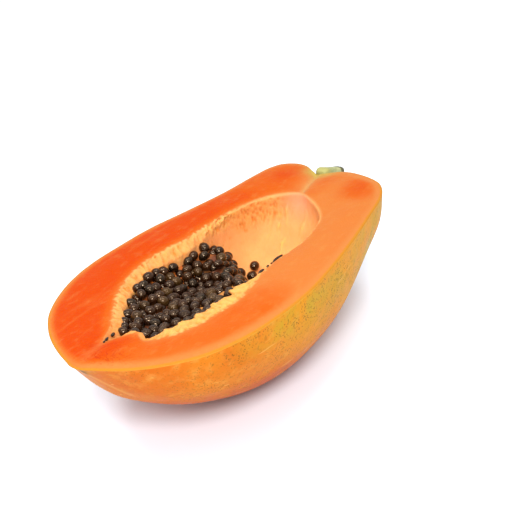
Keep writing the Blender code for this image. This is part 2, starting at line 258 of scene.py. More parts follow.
def ledge_width(loop):
    """How far soft tissue slopes in from the rim: widest on the -y side of the seeds."""
    side = np.clip(-loop[:, 1] / 24, 0, 1) ** 1.5
    along = np.exp(-np.clip((loop[:, 0] - 84) / 14, 0, None) ** 2)
    tip = 1 - np.exp(-np.clip((loop[:, 0] - 22) / 12, 0, None) ** 2)
    return LIP + (LEDGE_WIDE - LIP) * side * along * tip


def inset(loop, width):
    """The loop moved inwards by the widths."""
    along = np.roll(loop, -2, axis=0) - np.roll(loop, 2, axis=0)
    along /= np.linalg.norm(along, axis=1)[:, None]
    return loop + np.column_stack([along[:, 1], -along[:, 0]]) * width[:, None]


RIM_LOOP = smooth_loop(RIM, LOOP_POINTS)
HOLLOW = Trough(inset(RIM_LOOP, ledge_width(RIM_LOOP))[::HOLLOW_THIN], HOLLOW_DEPTH, HOLLOW_SECTION)


def dimpled(p):
    """The stalk's dimple pushed into the skin."""
    reach = np.hypot(p[:, 1] - DIMPLE_AT[0], p[:, 2] - DIMPLE_AT[1]) / DIMPLE_WIDE
    share = np.clip((p[:, 0] - DIMPLE_X[0]) / (DIMPLE_X[1] - DIMPLE_X[0]), 0, 1)
    push = DIMPLE_DEEP * np.exp(-reach ** 2) * share
    return p - np.column_stack([push, 0 * push, 0 * push])


def design(p):
    """Points in design millimetres, in the frame's metres."""
    return (p + (-MIDDLE[0], -MIDDLE[1], CUT_HEIGHT)) * MM


def fuzz(p, size, seed=0.0, octaves=1):
    """Smooth noise from about -1 to 1 at each point, with features of the given size."""
    scale = np.broadcast_to(np.array(size, float), 3)
    at = p / scale + seed * np.array([17.3, 9.1, 5.7])
    if octaves == 1:
        return np.array([noise.noise(v) for v in at.tolist()])
    return np.array([noise.fractal(v, 1.0, 2.0, octaves) for v in at.tolist()])


def bump_at(p, middle, reach):
    """1 at a design point, falling smoothly to 0 past the reach along each axis."""
    away = (p - np.array(middle, float)) / np.array(reach, float)
    return np.exp(-np.sum(away ** 2, axis=-1))


def from_line(p, start, end):
    """Distance of each point from a straight line between two design points."""
    start, end = np.array(start, float), np.array(end, float)
    along = np.clip((p - start) @ (end - start) / np.sum((end - start) ** 2), 0, 1)
    return np.linalg.norm(p - start - along[:, None] * (end - start), axis=1)


def step(low, high, value):
    """0 at low and 1 at high, with a smooth change between them."""
    t = np.clip((value - low) / (high - low), 0, 1)
    return t * t * (3 - 2 * t)


def between(value, rise, fall):
    """Goes smoothly from 0 to 1 over the rise, and back to 0 over the fall."""
    return step(*rise, value) * step(fall[1], fall[0], value)


# Objects

def add_mesh(name, verts, faces, finishes, smooth=True):
    data = bpy.data.meshes.new(name)
    data.from_pydata(np.asarray(verts).tolist(), [], faces)
    data.update()
    if smooth:
        data.shade_smooth()
    for finish in finishes:
        data.materials.append(finish)
    made = bpy.data.objects.new(name, data)
    bpy.context.collection.objects.link(made)
    return made


def set_values(piece, name, values):
    layer = piece.data.attributes.new(name, "FLOAT", "POINT")
    layer.data.foreach_set("value", np.asarray(values, np.float32))


def grid_faces(rows, around):
    """Quads between neighbouring closed rows of points."""
    faces = []
    for r in range(rows - 1):
        a, b = r * around, (r + 1) * around
        for i in range(around):
            k = (i + 1) % around
            faces.append((a + i, a + k, b + k, b + i))
    return faces


def pole_faces(rows, around):
    """Triangles that close rows of points at both ends. The two poles are numbered after the rows."""
    last, low, high = (rows - 1) * around, rows * around, rows * around + 1
    faces = []
    for i in range(around):
        k = (i + 1) % around
        faces += [(low, k, i), (high, last + i, last + k)]
    return faces


# Materials

class Nodes:
    """Short ways to add shader nodes to a material."""

    INPUTS = {"colour": "Base Color", "roughness": "Roughness", "normal": "Normal",
              "soft": "Subsurface Weight", "soft_scale": "Subsurface Scale",
              "soft_radius": "Subsurface Radius", "gloss": "Specular IOR Level",
              "gloss_tint": "Specular Tint"}

    def __init__(self, name):
        self.material = bpy.data.materials.new(name)
        self.material.use_nodes = True
        self.tree = self.material.node_tree
        self.shader = self.tree.nodes["Principled BSDF"]

    def add(self, kind):
        return self.tree.nodes.new(kind)

    def put(self, socket, value):
        """Link the value to a socket if it comes from a node, or else set it there."""
        if isinstance(value, bpy.types.NodeSocket):
            self.tree.links.new(value, socket)
        elif isinstance(value, tuple) and len(value) == 3 and socket.type == "RGBA":
            socket.default_value = (*value, 1.0)
        else:
            socket.default_value = value

    def position(self, stretch=(1, 1, 1)):
        """The place in metres, with each axis scaled."""
        mapped = self.add("ShaderNodeMapping")
        self.put(mapped.inputs["Vector"], self.add("ShaderNodeTexCoord").outputs["Object"])
        mapped.inputs["Scale"].default_value = stretch
        return mapped.outputs["Vector"]

    def noise(self, scale, detail=3.0, rough=0.55, stretch=(1, 1, 1), warp=0.0):
        made = self.add("ShaderNodeTexNoise")
        for name, given in (("Vector", self.position(stretch)), ("Scale", scale), ("Detail", detail),
                            ("Roughness", rough), ("Distortion", warp)):
            self.put(made.inputs[name], given)
        return made.outputs["Fac"]

    def cells(self, scale, out="Distance"):
        made = self.add("ShaderNodeTexVoronoi")
        self.put(made.inputs["Vector"], self.position())
        self.put(made.inputs["Scale"], scale)
        return made.outputs[out]

    def value(self, name):
        """A value that the mesh holds at each point."""
        made = self.add("ShaderNodeAttribute")
        made.attribute_name = name
        return made.outputs["Fac"]

    def maths(self, kind, a, b, clamp=False):
        made = self.add("ShaderNodeMath")
        made.operation = kind
        made.use_clamp = clamp
        self.put(made.inputs[0], a)
        self.put(made.inputs[1], b)
        return made.outputs[0]

    def plus(self, a, b, clamp=False):
        return self.maths("ADD", a, b, clamp)

    def minus(self, a, b):
        return self.maths("SUBTRACT", a, b)

    def times(self, a, b, clamp=False):
        return self.maths("MULTIPLY", a, b, clamp)

    def off_middle(self, pattern):
        """How far a noise is from its middle value: 0 along thin winding lines."""
        return self.maths("ABSOLUTE", self.minus(pattern, 0.5), 0.0)

    def range(self, value, low, high, to_low=0.0, to_high=1.0):
        made = self.add("ShaderNodeMapRange")
        made.interpolation_type = "SMOOTHSTEP"
        for name, given in (("Value", value), ("From Min", low), ("From Max", high),
                            ("To Min", to_low), ("To Max", to_high)):
            self.put(made.inputs[name], given)
        return made.outputs["Result"]

    def blend(self, share, a, b):
        """The first colour where the share is 0, the second where it is 1."""
        made = self.add("ShaderNodeMix")
        made.data_type = "RGBA"
        for place, given in ((0, share), (6, a), (7, b)):
            self.put(made.inputs[place], given)
        return made.outputs[2]

    def bump(self, height, strength, distance, normal=None):
        made = self.add("ShaderNodeBump")
        for name, given in (("Height", height), ("Strength", strength), ("Distance", distance)):
            self.put(made.inputs[name], given)
        if normal is not None:
            self.put(made.inputs["Normal"], normal)
        return made.outputs["Normal"]

    def set(self, **values):
        """Give the shader its inputs, and return the finished material."""
        for name, value in values.items():
            self.put(self.shader.inputs[self.INPUTS[name]], value)
        return self.material


def tone(red, green, blue, light=STUDIO_LIGHT):
    """The finish that looks this colour, in steps of 0 to 255, in light of this strength."""
    linear = (c / 255 / 12.92 if c <= 10 else ((c / 255 + 0.055) / 1.055) ** 2.4 for c in (red, green, blue))
    return tuple(c / light for c in linear)


def tones(light, *colours):
    return [tone(*colour, light) for colour in colours]


def lining_colour(n, fibre):
    """The hollow's lining: peach, with straw tufts, honey between them, and rusty pits."""
    peach, apricot, pink = tones(WALL_LIGHT, (250, 164, 96), (252, 178, 106), (250, 164, 118))
    straw, honey, rust = tones(WALL_LIGHT, (252, 188, 100), (244, 136, 36), (232, 124, 34))
    colour = n.blend(n.range(n.noise(90, 3, 0.6), 0.35, 0.7, 0.0, 0.7), peach, apricot)
    tufted = n.times(n.value("cream"), n.range(fibre, 0.3, 0.7, 0.6, 1.0), clamp=True)
    colour = n.blend(tufted, colour, straw)
    colour = n.blend(n.value("smooth"), colour, pink)
    sunk = n.times(n.value("honey"), n.range(fibre, 0.35, 0.65, 0.3, 1.0), clamp=True)
    colour = n.blend(sunk, colour, honey)
    return n.blend(n.value("pit"), colour, rust)


def flesh_material():
    n = Nodes("papaya_flesh")
    deep, mid, soft = tone(248, 84, 0), tone(252, 112, 22), tone(252, 144, 64)
    cream, pale, red = tone(250, 190, 104), tone(252, 162, 86), tone(226, 62, 4)
    line, edge, green = tone(253, 186, 112), tone(244, 160, 50), tone(220, 198, 96)
    wander = n.times(n.minus(n.noise(38, 4, 0.55, warp=0.4), 0.5), 0.5)
    deepness = n.plus(n.value("deep"), wander, clamp=True)
    colour = n.blend(n.range(deepness, 0.0, 0.5), soft, mid)
    colour = n.blend(n.range(deepness, 0.45, 1.0), colour, deep)
    streak = n.noise(120, 3, 0.6, stretch=(0.16, 1, 1), warp=0.5)
    colour = n.blend(n.range(streak, 0.56, 0.74, 0, 0.22), colour, soft)
    fine = n.noise(260, 3, 0.6, stretch=(0.5, 1, 1))
    colour = n.blend(n.range(fine, 0.5, 0.75, 0, 0.16), colour, cream)
    colour = n.blend(n.times(n.value("pale"), n.plus(wander, 1.0), clamp=True), colour, pale)
    crack = n.range(n.off_middle(n.noise(70, 3, 0.6, warp=1.6)), 0.022, 0.004)
    colour = n.blend(n.times(crack, n.value("cracks")), colour, red)
    fibre = n.noise(420, 4, 0.65, warp=1.0)
    colour = n.blend(n.value("lining"), colour, lining_colour(n, fibre))
    for name, finish in (("line", line), ("edge", edge), ("green", green)):
        colour = n.blend(n.value(name), colour, finish)
    wet = n.range(n.noise(70, 3), 0.3, 0.7, 0.30, 0.46)
    rough = n.blend(n.value("lining"), wet, n.range(fibre, 0.3, 0.7, 0.42, 0.62))
    relief = n.bump(n.noise(900, 3, 0.6), 0.18, 0.0004)
    relief = n.bump(fibre, 0.35, 0.0006, relief)
    return n.set(colour=colour, roughness=rough, normal=relief, soft=0.22, soft_scale=0.004,
                 soft_radius=(1.0, 0.42, 0.16), gloss=0.035)


def skin_material():
    n = Nodes("papaya_skin")
    gold, amber, orange = tones(SIDE_LIGHT, (238, 156, 22), (234, 138, 32), (220, 96, 20))
    olive, pale = tones(SIDE_LIGHT, (206, 166, 40), (252, 192, 96))
    dark, brown = tones(SIDE_LIGHT, (96, 78, 24), (140, 100, 30))
    tip, scar, edge = tone(196, 158, 52), tone(52, 34, 10), tone(238, 176, 66)
    wander = n.times(n.minus(n.noise(16, 3, 0.5, warp=0.3), 0.5), 0.9)
    ripe = n.plus(n.value("ripe"), wander, clamp=True)
    colour = n.blend(n.range(ripe, 0.1, 0.6), gold, amber)
    colour = n.blend(n.range(ripe, 0.5, 1.0), colour, orange)
    fine = n.noise(150, 4, 0.6)
    colour = n.blend(n.range(fine, 0.45, 0.75, 0, 0.3), colour, pale)
    patch = n.range(n.noise(60, 4, 0.65, warp=0.8), 0.36, 0.62)
    green = n.times(n.value("olive"), patch, clamp=True)
    colour = n.blend(n.times(green, 0.9), colour, olive)
    # Small dark specks, brown grain and a few larger specks, all thicker where the skin is marked.
    marked = n.value("speck")
    size = n.range(n.noise(55, 2), 0.3, 0.7, 0.05, 0.24)
    spot = n.range(n.minus(n.cells(800), size), 0.12, 0.0)
    some = n.range(n.cells(800, "Color"), 0.3, 0.4)
    colour = n.blend(n.times(n.times(spot, n.times(some, marked)), 0.85, clamp=True), colour, dark)
    grain = n.range(n.noise(620, 2, 0.5), 0.55, 0.68)
    colour = n.blend(n.times(n.times(grain, marked), 0.38, clamp=True), colour, brown)
    large = n.times(n.range(n.cells(240), 0.13, 0.06), n.range(n.cells(240, "Color"), 0.6, 0.66))
    colour = n.blend(n.times(large, n.times(marked, 0.7)), colour, dark)
    scratch = n.noise(300, 2, 0.5, stretch=(0.06, 0.6, 1), warp=0.2)
    colour = n.blend(n.range(scratch, 0.66, 0.72, 0, 0.4), colour, pale)
    # On the skin the pale share is only the painted highlight along the ridge from the blossom tip.
    for name, finish in (("pale", pale), ("tipgreen", tip), ("scar", scar), ("edge", edge)):
        colour = n.blend(n.value(name), colour, finish)
    relief = n.bump(n.noise(70, 3), 0.25, 0.0015)
    relief = n.bump(n.noise(700, 2), 0.2, 0.0003, relief)
    return n.set(colour=colour, roughness=n.range(fine, 0.3, 0.7, 0.36, 0.5), normal=relief, soft=0.08,
                 soft_scale=0.003, soft_radius=(1.0, 0.45, 0.15), gloss=0.035)


def seed_material():
    n = Nodes("papaya_seed")
    black, brown, umber, tan = tone(20, 9, 2), tone(58, 28, 8), tone(40, 16, 8), tone(84, 56, 22)
    # The last two colours on the next line are painted: shade in the grooves of the folds, and a glint on
    # their crests.
    film, painted_crease_shade, painted_ridge_glint = tone(114, 76, 50), tone(18, 10, 6), tone(126, 90, 70)
    tint, wrinkle = n.value("tint"), n.value("wrinkle")
    colour = n.blend(n.range(tint, 0.0, 0.35), black, brown)
    colour = n.blend(n.range(tint, 0.35, 0.7), colour, umber)
    colour = n.blend(n.range(tint, 0.86, 1.0), colour, tan)
    veil = n.noise(700, 3, 0.6, warp=1.2)
    colour = n.blend(n.range(veil, 0.58, 0.74, 0, 0.4), colour, film)
    fold = n.off_middle(n.noise(430, 2, 0.5, warp=1.2))
    # Painted shade: the grooves of the folds are darkened.
    colour = n.blend(n.times(n.range(fold, 0.05, 0.0), wrinkle), colour, painted_crease_shade)
    # Painted glint: the crests of the folds are lightened where light would catch them.
    colour = n.blend(n.times(n.range(fold, 0.11, 0.17, 0, 0.35), wrinkle), colour, painted_ridge_glint)
    relief = n.bump(n.times(n.range(fold, 0.0, 0.09), wrinkle), 0.4, 0.0004)
    relief = n.bump(n.noise(700, 2, 0.5, warp=1.0), 0.07, 0.0005, relief)
    return n.set(colour=colour, roughness=n.range(veil, 0.35, 0.7, 0.08, 0.22), normal=relief, gloss=0.55,
                 gloss_tint=(1.0, 0.72, 0.48))


def core_material():
    n = Nodes("seed_tissue")
    dark, brown, bright = tone(34, 16, 8), tone(90, 38, 14), tone(230, 118, 36)
    patch = n.noise(170, 4, 0.6, warp=1.0)
    colour = n.blend(n.range(patch, 0.4, 0.62), dark, brown)
    colour = n.blend(n.value("bright"), colour, bright)
    colour = n.blend(n.value("straw"), colour, tone(244, 160, 72, CORE_LIGHT))
    relief = n.bump(n.noise(600, 3), 0.5, 0.0006)
    return n.set(colour=colour, roughness=0.5, normal=relief, gloss=0.4)


def stalk_material():
    n = Nodes("papaya_stalk")
    green, light_green, cream, olive = tones(
        STALK_LIGHT, (172, 178, 112), (214, 212, 150), (226, 218, 160), (98, 90, 42))
    streak = n.noise(300, 3, 0.6, stretch=(0.12, 1, 1))
    colour = n.blend(n.range(streak, 0.35, 0.65), green, light_green)
    colour = n.blend(n.range(n.noise(240, 3), 0.55, 0.75, 0, 0.5), colour, cream)
    colour = n.blend(n.value("end"), colour, olive)
    colour = n.blend(n.value("base"), colour, tone(206, 200, 118, STALK_BASE_LIGHT))
    relief = n.bump(streak, 0.4, 0.0008)
    return n.set(colour=colour, roughness=0.55, normal=relief, gloss=0.3)


# The fruit

def fruit_rows():
    """Rows of points from the underside over the cut face to the hollow's floor, with the row kinds."""
    edge, rim = smooth_loop(EDGE, AROUND), smooth_loop(RIM, AROUND)
    rows, kinds = [], []
    reach = np.linalg.norm(edge - np.array(CENTRE[:2]), axis=1)
    low = np.arctan2(EDGE_ROUND, reach)
    for j in range(SKIN_ROWS):
        share = ((j + 0.6) / (SKIN_ROWS - 0.4)) ** SKIN_CROWD
        fall = math.pi / 2 + (low - math.pi / 2) * share
        rows.append(dimpled(cast(BODY.level, CENTRE, ring_directions(edge, CENTRE, fall))))
        kinds.append("skin")
    for j in range(1, EDGE_ROWS + 1):
        turn = math.pi / 2 * j / EDGE_ROWS
        width = np.full(AROUND, EDGE_ROUND * (1 - math.cos(turn)))
        down = np.full(AROUND, -EDGE_ROUND * (1 - math.sin(turn)))
        rows.append(dimpled(np.column_stack([inset(edge, width), down])))
        kinds.append("edge")
    inner = rows[-1]
    flat_rim = np.column_stack([rim, np.zeros(AROUND)])
    for j in range(1, FACE_ROWS + 1):
        t = j / FACE_ROWS
        row = inner * (1 - t) + flat_rim * t
        row[:, 2] += FACE_CROWN * math.sin(math.pi * t) ** 0.7
        rows.append(row)
        kinds.append("face")
    ledge = ledge_width(rim)
    start = ledge * LEDGE_FALL + LEDGE_DROP
    shelf = np.column_stack([inset(rim, ledge), -start])
    for j in range(1, LEDGE_ROWS + 1):
        t = j / LEDGE_ROWS
        row = flat_rim * (1 - t) + shelf * t
        row[:, 2] += LEDGE_SWELL * math.sin(math.pi * t)
        rows.append(row)
        kinds.append("ledge")
    reach = np.linalg.norm(shelf[:, :2] - np.array(HOLLOW_CENTRE[:2]), axis=1)
    first = np.arctan2(start, reach)
    for j in range(1, HOLLOW_ROWS + 1):
        t = (j / (HOLLOW_ROWS + 0.6)) ** HOLLOW_CROWD
        fall = first + (math.pi / 2 - first) * t
        rows.append(cast(HOLLOW.level, HOLLOW_CENTRE, ring_directions(rim, HOLLOW_CENTRE, fall)))
        kinds.append("hollow")
    return np.array(rows), np.array(kinds)


def row_normals(rows):
    """Normals of a closed grid of points, away from the flesh."""
    along = np.roll(rows, -1, axis=1) - np.roll(rows, 1, axis=1)
    across = np.gradient(rows, axis=0)
    normal = np.cross(across, along)
    return normal / np.maximum(np.linalg.norm(normal, axis=2), 1e-9)[..., None]


class FruitGrid:
    """The fruit's points, and where on its surface each one lies."""

    def __init__(self):
        self.rows, self.kinds = fruit_rows()
        self.count = len(self.rows)
        self.p = self.rows.reshape(-1, 3)
        self.x, self.y, self.z = self.p.T
        self.normal = row_normals(self.rows).reshape(-1, 3)
        kind = np.repeat(self.kinds, AROUND)
        self.skin, self.hollow = kind == "skin", kind == "hollow"
        self.face = (kind == "face") | (kind == "edge")
        self.inside = (kind == "ledge") | self.hollow
        gap = np.linalg.norm(np.diff(self.rows, axis=0), axis=2)
        run = np.concatenate([np.zeros((1, AROUND)), np.cumsum(gap, axis=0)])
        edge_row = np.flatnonzero(self.kinds == "edge")[-1]
        rim_row = np.flatnonzero(self.kinds == "face")[-1]
        self.rind = (run - run[edge_row]).reshape(-1)       # positive on the cut face, negative on the skin
        self.rim = (run[rim_row] - run).reshape(-1)         # positive on the cut face, negative in the hollow

    def notch(self, half_width, start):
        """The valley in the cut face from the stalk's notch to the hollow."""
        off = self.y - NOTCH_AT[1] - NOTCH_SLANT * (self.x - NOTCH_AT[0])
        return np.exp(-(off / half_width) ** 2) * step(*start, self.x) * self.face


class Lining:
    """Patterns of the hollow's lining, laid out along the rim and down from it."""

    def __init__(self, g):
        self.g = g
        rim_loop = smooth_loop(RIM, AROUND)
        rim_side = np.tile(rim_loop[:, 1], g.count)
        self.inward = np.tile(inset(rim_loop, np.ones(AROUND)) - rim_loop, (g.count, 1))
        self.far_side = step(-2, 8, rim_side) * g.inside
        self.near_side = step(2, -8, rim_side) * g.inside
        self.down = np.where(g.inside, -g.rim, 0)
        pitch = np.linalg.norm(np.diff(rim_loop, axis=0), axis=1).mean()
        along = np.tile(np.arange(AROUND) * pitch, g.count) + 0.35 * self.down
        self.at = np.column_stack([along, self.down, 0 * along])
        self.at[:, 0] += 1.3 * fuzz(self.at, 6, 1)
        self.bands()
        self.pits()
        self.ridges = ridges(g)

    def bands(self):
        """Fingers of tissue under the far side's rim, and tufts on the near side's slope."""
        x, down = self.g.x, self.down
        self.fingers = np.clip(1 - 2.6 * np.abs(fuzz(self.at, (2.3, 8.0, 1), 2)), 0, 1)
        self.tufts = fuzz(self.at, 2.2, 3, 3)
        reach = 8.5 + 5 * fuzz(self.at, (5, 30, 1), 4)
        self.far_band = self.far_side * between(x, (24, 36), (150, 162)) \
            * step(0.2, 1.8, down) * step(0, 3.5, reach - down)
        self.near_band = self.near_side * between(x, (26, 34), (100, 114)) \
            * between(down, (0.2, 1.2), (8.5, 11))
        self.plump = 1 + 0.9 * step(128, 142, x)

    def pits(self):
        """Pits on the far wall at the stalk end, and scattered dots beside them."""
        x, down = self.g.x, self.down
        cell = np.array([noise.voronoi(v)[0][0] for v in (self.at / PIT_SIZE).tolist()])
        self.pit = step(0.56, 0.24, cell)
        self.pits_zone = self.far_side * between(x, (150, 158), (179, 187)) \
            * between(down, (1.0, 2.4), (11, 17))
        dots_zone = self.far_side * between(x, (112, 126), (160, 172)) * between(down, (7, 11), (18, 24))
        self.dots = self.pit * step(0.12, 0.3, fuzz(self.at, 3.4, 5)) * dots_zone

    def lift(self):
        """How far the lining stands out of the plain wall."""
        lift = (0.85 * self.fingers - 0.35 + 0.5 * self.tufts) * self.far_band * self.plump
        lift += (0.4 * self.fingers + 0.6 + 0.7 * self.tufts) * self.near_band
        lift += (0.4 - 0.85 * self.pit + 0.4 * self.tufts) * self.pits_zone - 0.4 * self.dots
        lift += 1.1 * self.ridges
        return lift + (0.3 * fuzz(self.g.p, 8, 5) + 0.13 * fuzz(self.g.p, 2.4, 6)) * self.g.hollow

    def slope(self):
        """How far soft tissue slopes in from the rim beside the seeds, evenly on the far side only."""
        x, down = self.g.x, self.down
        slope = 3.8 * self.far_side * between(x, (24, 38), (116, 150)) * between(down, (0, 6), (11, 22))
        slope += self.near_side * between(x, (30, 42), (98, 114)) * between(down, (3, 7), (10, 18)) \
            * np.clip(1.9 + 3.4 * fuzz(self.at, (4.2, 60, 1), 12), 0, 4)
        return slope * (1 + 0.35 * fuzz(self.at, (7, 20, 1), 10))

    def values(self):
        """Shares of the lining's colours at each point."""
        g = self.g
        ragged = 1.7 * self.tufts * between(g.x, (24, 36), (150, 172))
        lining = np.where(g.skin, 0, step(-0.4, 1.0, ragged - g.rim)) * (0.45 + 0.55 * step(26, 44, g.x))
        cream = 0.5 * self.far_band * self.fingers * self.plump + 0.8 * self.ridges
        cream += self.near_band * (0.45 + 0.55 * self.fingers) + 0.4 * self.pits_zone * (1 - self.pit)
        bands = np.maximum(self.far_band, self.near_band)
        honey = 0.9 * bands * (1 - self.fingers) * (0.5 - self.tufts) + 0.35 * self.pits_zone
        pit = 0.6 * self.pit * self.pits_zone + 0.7 * self.dots
        pit += 0.25 * step(0.0, -0.5, self.tufts) * self.far_band
        return {"lining": lining, "cream": cream, "honey": honey, "pit": pit,
                "smooth": bump_at(g.p, (186, -1, -5), (9, 12, 9)) * g.inside}


def ridges(g):
    """The soft broken ridges on the end wall of the hollow."""
    high = np.zeros(len(g.p))
    for start, end, wide in RIDGES:
        high = np.maximum(high, np.exp(-(from_line(g.p, start, end) / wide) ** 2))
    return high * np.clip(0.55 + 1.8 * fuzz(g.p, 2.0, 6), 0, 1.3) * g.inside


def face_lift(g):
    """Soft swells of the cut face, and the valley at the stalk."""
    swells = 0.16 * fuzz(g.p, 13, 7) * np.minimum(g.rind / 4, 1) + 0.05 * fuzz(g.p, 3.2, 8)
    return swells * g.face - 1.1 * g.notch(*VALLEY) - 0.9 * g.notch(*DIP) * step(0, 3, g.rind)


def skin_lift(g):
    """Shallow lengthwise dents of the skin, fainter at the blossom tip."""
    dents = np.minimum(0.35 * fuzz(g.p, (34, 12, 12), 9) - 0.25, 0) * step(0, 6, -g.rind)
    return dents * np.where(g.x < 4, 0.4, 1) * g.skin


def face_values(g):
    """Shares of the cut face's colours: deepest near the blossom end and along the far side."""
    p, x, y = g.p, g.x, g.y
    deep = 0.42 + 0.5 * step(8, 26, y) * step(200, 150, x) + 0.55 * step(48, 18, x) * step(-26, 2, y)
    deep -= 0.4 * step(66, 114, x) * step(0, -20, y)
    deep += 0.65 * bump_at(p, (205, -31, 0), (17, 11, 9)) + 0.35 * bump_at(p, (203, 20, 0), (12, 10, 9))
    deep *= step(0, 9 - 3.5 * step(0, 10, y), g.rind) * (0.55 + 0.45 * step(0, 7, g.rim))
    pale = (0.15 + 0.4 * step(4, -10, y)) * step(6.5, 1.0, g.rind) + 0.3 * step(2.4, 0, g.rim)
    pale += 0.7 * g.notch(*DIP) + 0.35 * np.exp(-(from_line(p, (21, 1, 0), (4, -1, 0)) / 2.2) ** 2)
    # Painted highlight: a pale band on the skin along a ridge from the blossom tip, carried by the pale
    # share.
    painted_ridge_highlight = np.exp(-(from_line(p, (3, -3, -7), (16, -15, -24)) / 1.3) ** 2)
    lip = np.exp(-((g.rim + 0.1) / 0.6) ** 2) * step(120, 176, x) * (g.face | g.inside)
    return {"deep": np.clip(deep, 0, 1) * g.face,
            "pale": np.clip(pale, 0, 0.9) * g.face + 0.4 * painted_ridge_highlight * g.skin,
            "cracks": 0.7 * bump_at(p, (12, -8, 0), (14, 14, 9)) * g.face * step(1, 4, g.rind),
            "line": 0.8 * g.notch(*VALLEY) + 0.28 * lip,
            "edge": np.where(g.face, step(0.9, 0.0, g.rind), step(-1.2, 0.0, g.rind) * g.skin),
            "green": bump_at(p, (215, 4, 0), (6, 9, 6)) * (g.face | g.skin)}


def skin_values(g):
    """Shares of the skin's colours at each point."""
    ripe = 0.36 + 0.35 * step(100, 40, g.x) + 0.6 * step(-22, -56, g.z) - 0.3 * step(100, 150, g.x)
    olive = sum(share * bump_at(g.p, middle, reach) for share, middle, reach in OLIVE_PATCHES)
    speck = 0.48 + sum(share * bump_at(g.p, middle, reach) for share, middle, reach in SPECK_PATCHES)
    speck += 0.4 * step(100, 160, g.x)
    scar = 1.6 * bump_at(g.p, (0.5, -1.0, -4.2), (2.0, 2.2, 1.6))
    values = {"ripe": ripe, "olive": olive, "speck": speck, "scar": scar,
              "tipgreen": 0.8 * bump_at(g.p, (-1, 0, -3), (4, 6, 5))}
    return {name: value * g.skin for name, value in values.items()}


def make_fruit():
    g = FruitGrid()
    lining = Lining(g)
    lift = lining.lift() + face_lift(g) + skin_lift(g)
    moved = g.p + g.normal * lift[:, None]
    moved[:, :2] += lining.inward * lining.slope()[:, None]
    # The tip is drawn in a little, and the flat spot stays flat.
    moved[:, 0] -= (1 - TIP_SHARE) * np.minimum(moved[:, 0] - TIP_END, 0)
    moved[:, 2] = np.where(g.z <= -CUT_HEIGHT, -CUT_HEIGHT, np.maximum(moved[:, 2], -CUT_HEIGHT))

    low_pole = np.append(g.rows[0].mean(axis=0)[:2], -CUT_HEIGHT)
    verts = np.vstack([moved, low_pole, g.rows[-1].mean(axis=0)])
    faces = grid_faces(g.count, AROUND) + pole_faces(g.count, AROUND)
    slots = [SKIN_SLOT if kind == "skin" else FLESH_SLOT for kind in g.kinds[:-1] for _ in range(AROUND)]
    slots += [SKIN_SLOT, FLESH_SLOT] * AROUND
    fruit = add_mesh("papaya_flesh_and_skin", design(verts), faces, [skin_material(), flesh_material()])
    fruit.data.polygons.foreach_set("material_index", slots)
    check = bmesh.new()
    check.from_mesh(fruit.data)
    bmesh.ops.recalc_face_normals(check, faces=check.faces)
    check.to_mesh(fruit.data)
    check.free()
    for name, values in {**face_values(g), **lining.values(), **skin_values(g)}.items():
        set_values(fruit, name, np.append(np.clip(values, 0, 1), [0, 0]))
    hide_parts("fruit_half")
    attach(fruit, "root")


# The seeds

def heap_top(x, y):
    """Height of the seeds' middles: high along both sides, hollow in the middle, falling to the stalk."""
    bowl = 2.2 * np.clip(1 - ((y + 2) / 27) ** 2, 0, 1) * np.clip((x - 44) / 24, 0, 1)
    dip = 10.3 * np.exp(-((x - 102) / 20) ** 2 - ((y - 5) / 15) ** 2)
    low = 2.2 * np.clip((x - 84) / 12, 0, 1) * np.clip((y - 8) / 18, 0, 1)
    ramp = np.clip(x - (97 + 0.72 * (np.minimum(y, 16) + 25)), 0, None)
    return -4.2 - bowl - dip - low - 0.32 * ramp ** 1.5


def core_level(p, sink=0.0):
    """The tissue that the seeds sit in: under their middles, clear of the hollow's wall."""
    shifts = (WALL_GAP + 0.3) * np.array([(1, 0, 0), (-1, 0, 0), (0, 1, 0), (0, -1, 0), (0, 0, -1)])
    wall = np.max([HOLLOW.level(p + s) for s in shifts], axis=0)
    top = 1 + (p[..., 2] - heap_top(p[..., 0], p[..., 1]) + sink) / 10
    return np.maximum(wall, top)


def seed_turn(draw):
    return [draw.uniform(-0.6, 0.6), draw.uniform(-0.6, 0.6), draw.uniform(0, math.pi)]


def seed_places():
    """Middle, turn and half sizes of each seed that hangs in the bunch."""
    draw = random.Random(SEED_RANDOM)
    places = []
    for _ in range(SEED_TRIES):
        x, y = draw.uniform(*SEED_X), draw.uniform(*SEED_Y)
        lift, size = draw.uniform(-1.2, 0.7), draw.uniform(0.9, 1.1)
        turn = seed_turn(draw)
        middle = np.array([x, y, float(heap_top(x, y)) + lift])
        half = [h * size for h in SEED_HALF]
        away = (middle - CORE_CENTRE) / np.linalg.norm(middle - CORE_CENTRE)
        roots = np.array([middle + ROOT_CHECK * away - (0, 0, ROOT_CHECK), middle - (0, 0, ROOT_LOW)])
        if not HOLLOW.roomy(middle, half[0] + WALL_GAP) or core_level(roots).max() > 1:
            continue
        if all(np.linalg.norm(middle - other[0]) > SEED_APART * (size + other[3]) / 2 for other in places):
            places.append((middle, turn, half, size))
    return [place[:3] for place in places]


def low_places(above):
    """Seeds of the layer below, seen in the gaps between those on top."""
    draw = random.Random(LOW_RANDOM)
    places = []
    tops = np.array([place[0] for place in above])
    for _ in range(LOW_TRIES):
        x, y = draw.uniform(*SEED_X), draw.uniform(*SEED_Y)
        turn = seed_turn(draw)
        middle = np.array([x, y, float(heap_top(x, y)) - draw.uniform(*LOW_UNDER)])
        half = [h * draw.uniform(0.86, 1.0) for h in SEED_HALF]
        if not HOLLOW.roomy(middle, half[0] + WALL_GAP):
            continue
        if np.linalg.norm(tops - middle, axis=1).min() < LOW_FROM_TOP:
            continue
        if all(np.linalg.norm(middle - other[0]) > LOW_APART for other in places):
            places.append((middle, turn, half))
    return places


def seed_ball(level):
    """Points and faces of a round ball."""
    ball = bmesh.new()
    bmesh.ops.create_icosphere(ball, subdivisions=level, radius=1.0)
    verts = np.array([v.co[:] for v in ball.verts])
    faces = [tuple(v.index for v in f.verts) for f in ball.faces]
    ball.free()
    return verts, faces


